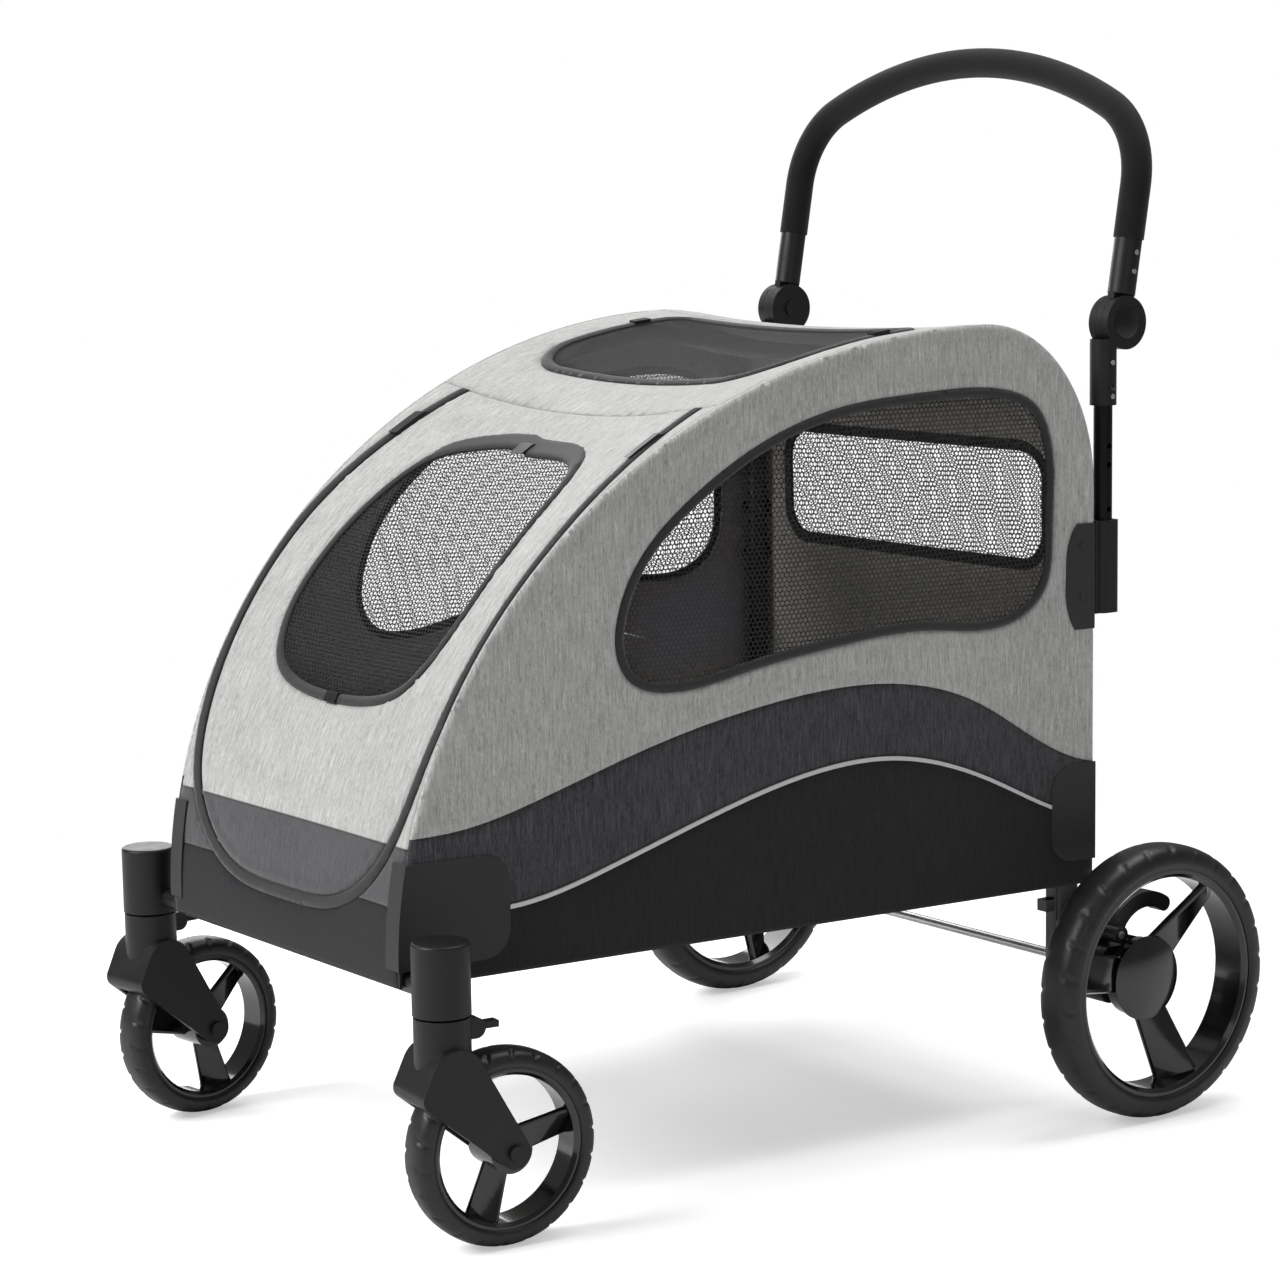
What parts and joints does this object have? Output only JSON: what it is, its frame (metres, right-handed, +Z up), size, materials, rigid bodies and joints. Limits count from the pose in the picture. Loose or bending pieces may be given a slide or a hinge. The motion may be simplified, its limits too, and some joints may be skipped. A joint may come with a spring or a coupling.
{
  "type": "pet stroller",
  "caption": "Pet carriage with a folding tube frame, zipped mesh cabin, swivel front casters, braked rear wheels and a height-adjustable tilting push handle",
  "frame": {"origin": "on the ground under the centre of the stroller's bounding box", "axes": "+Z up, the stroller travels towards -Y, +X is its left side as it travels"},
  "size_m": [0.744, 0.9826, 1.0813],
  "materials": {
    "frame_steel": "satin black powder coat",
    "alu_post": "black anodised tube",
    "black_plastic": "matte moulded",
    "gloss_black": "polished moulded",
    "pin_steel": "zinc plated",
    "tyre": "satin rubber with tread",
    "foam": "matte foam",
    "light_cloth": "light grey melange weave",
    "charcoal_cloth": "charcoal melange weave",
    "black_cloth": "near-black weave",
    "mesh_cloth": "open mesh",
    "binding": "woven tape",
    "piping": "reflective piping",
    "cushion": "padded pad",
    "board": "fibreboard"
  },
  "bodies": {
    "base": {"base_frame": "frame_steel", "caster_housings": "black_plastic", "hinge_pins": "pin_steel", "rear_legs": "frame_steel", "axle_blocks": "black_plastic", "rear_axle": "pin_steel", "floor_board": "board", "floor_cushion": "cushion", "lower_side_panels": "black_cloth", "lower_end_panels": "black_cloth", "side_piping": "piping", "corner_patches": "black_cloth", "side_bands": "charcoal_cloth", "side_panels": "light_cloth", "mesh_windows": "mesh_cloth", "window_bindings": "binding", "front_surround": "light_cloth", "roof_cloth": "light_cloth", "rear_cloth": "light_cloth", "door_zip": "binding", "zip_sliders": "black_plastic"},
    "front_door": {"door_cloth": "light_cloth", "door_mesh": "mesh_cloth", "door_window_binding": "binding", "window_sliders": "black_plastic"},
    "front_arch": {"front_arch": "frame_steel"},
    "rear_frame": {"rear_frame_tubes": "frame_steel", "handle_brackets": "black_plastic", "upright_patches": "black_cloth"},
    "handle_slide": {"handle_posts": "alu_post", "handle_sleeves": "black_plastic", "knuckle_pins": "black_plastic", "sleeve_screws": "pin_steel"},
    "handle_upper": {"handle_arms": "black_plastic", "handle_tube": "alu_post", "foam_grip": "foam", "arm_screws": "pin_steel"},
    "tilt_button_left": {"tilt_button_left": "black_plastic"},
    "height_button_left": {"height_button_left": "black_plastic"},
    "caster_left": {"fork_left": "black_plastic", "front_axle_bolt_left": "black_plastic"},
    "front_wheel_left": {"front_rim_left": "gloss_black", "front_tyre_left": "tyre"},
    "swivel_lock_left": {"swivel_lock_left": "black_plastic"},
    "rear_wheel_left": {"rear_rim_left": "gloss_black", "rear_tyre_left": "tyre", "hub_cap_left": "gloss_black"},
    "brake_left": {"brake_pedal_left": "black_plastic"},
    "tilt_button_right": {"tilt_button_right": "black_plastic"},
    "height_button_right": {"height_button_right": "black_plastic"},
    "caster_right": {"fork_right": "black_plastic", "front_axle_bolt_right": "black_plastic"},
    "front_wheel_right": {"front_rim_right": "gloss_black", "front_tyre_right": "tyre"},
    "swivel_lock_right": {"swivel_lock_right": "black_plastic"},
    "rear_wheel_right": {"rear_rim_right": "gloss_black", "rear_tyre_right": "tyre", "hub_cap_right": "gloss_black"},
    "brake_right": {"brake_pedal_right": "black_plastic"}
  },
  "joints": [
    {"name": "rear_frame_fold", "type": "hinge", "parent": "base", "child": "rear_frame", "pos_m": [0, 0.318, 0.325], "axis": [1, 0, 0], "range_deg": [0, 56], "deforming": ["side_panels", "side_bands", "mesh_windows", "window_bindings", "front_surround", "roof_cloth", "rear_cloth", "door_zip", "zip_sliders", "door_cloth", "door_mesh", "door_window_binding", "window_sliders"]},
    {"name": "front_arch_fold", "type": "hinge", "parent": "base", "child": "front_arch", "pos_m": [0, -0.43568, 0.2834], "axis": [1, 0, 0], "range_deg": [-37.5, 0]},
    {"name": "front_door_flap", "type": "hinge", "parent": "base", "child": "front_door", "pos_m": [0, -0.104, 0.738], "axis": [-1, 0, 0], "range_deg": [0, 95]},
    {"name": "handle_height", "type": "slide", "parent": "rear_frame", "child": "handle_slide", "axis": [0, 0, 1], "range_m": [-0.1, 0]},
    {"name": "handle_tilt", "type": "hinge", "parent": "handle_slide", "child": "handle_upper", "pos_m": [0, 0.3735, 0.8], "axis": [1, 0, 0], "range_deg": [-130, 45]},
    {"name": "tilt_button_push_left", "type": "slide", "parent": "handle_slide", "child": "tilt_button_left", "axis": [1, 0, 0], "range_m": [-0.003, 0], "stiffness_N_per_m": 900, "springref_m": 0.0015},
    {"name": "height_button_push_left", "type": "slide", "parent": "handle_slide", "child": "height_button_left", "axis": [1, 0, 0], "range_m": [-0.001, 0], "stiffness_N_per_m": 900, "springref_m": 0.001},
    {"name": "caster_swivel_left", "type": "hinge", "parent": "base", "child": "caster_left", "pos_m": [0.2745, -0.453, 0.25], "axis": [0, 0, 1], "continuous": true},
    {"name": "front_wheel_spin_left", "type": "hinge", "parent": "caster_left", "child": "front_wheel_left", "pos_m": [0.28022, -0.39769, 0.0915], "axis": [0.9947, -0.1028, 0], "continuous": true},
    {"name": "swivel_lock_flip_left", "type": "hinge", "parent": "caster_left", "child": "swivel_lock_left", "pos_m": [0.27748, -0.42415, 0.206], "axis": [0.9947, -0.1028, 0], "range_deg": [0, 40]},
    {"name": "rear_wheel_spin_left", "type": "hinge", "parent": "base", "child": "rear_wheel_left", "pos_m": [0.348, 0.351, 0.14], "axis": [1, 0, 0], "continuous": true},
    {"name": "brake_press_left", "type": "hinge", "parent": "base", "child": "brake_left", "pos_m": [0.305, 0.333, 0.184], "axis": [-1, 0, 0], "range_deg": [0, 20]},
    {"name": "tilt_button_push_right", "type": "slide", "parent": "handle_slide", "child": "tilt_button_right", "axis": [-1, 0, 0], "range_m": [-0.003, 0], "stiffness_N_per_m": 900, "springref_m": 0.0015},
    {"name": "height_button_push_right", "type": "slide", "parent": "handle_slide", "child": "height_button_right", "axis": [-1, 0, 0], "range_m": [-0.001, 0], "stiffness_N_per_m": 900, "springref_m": 0.001},
    {"name": "caster_swivel_right", "type": "hinge", "parent": "base", "child": "caster_right", "pos_m": [-0.2745, -0.453, 0.25], "axis": [0, 0, 1], "continuous": true},
    {"name": "front_wheel_spin_right", "type": "hinge", "parent": "caster_right", "child": "front_wheel_right", "pos_m": [-0.28137, -0.39783, 0.0915], "axis": [0.9923, 0.1236, 0], "continuous": true},
    {"name": "swivel_lock_flip_right", "type": "hinge", "parent": "caster_right", "child": "swivel_lock_right", "pos_m": [-0.27808, -0.42422, 0.206], "axis": [0.9923, 0.1236, 0], "range_deg": [0, 40]},
    {"name": "rear_wheel_spin_right", "type": "hinge", "parent": "base", "child": "rear_wheel_right", "pos_m": [-0.348, 0.351, 0.14], "axis": [1, 0, 0], "continuous": true},
    {"name": "brake_press_right", "type": "hinge", "parent": "base", "child": "brake_right", "pos_m": [-0.305, 0.333, 0.184], "axis": [-1, 0, 0], "range_deg": [0, 20]}
  ],
  "couplings": [
    {"joint": "front_arch_fold", "follows": "rear_frame_fold", "ratio": -0.66}
  ]
}
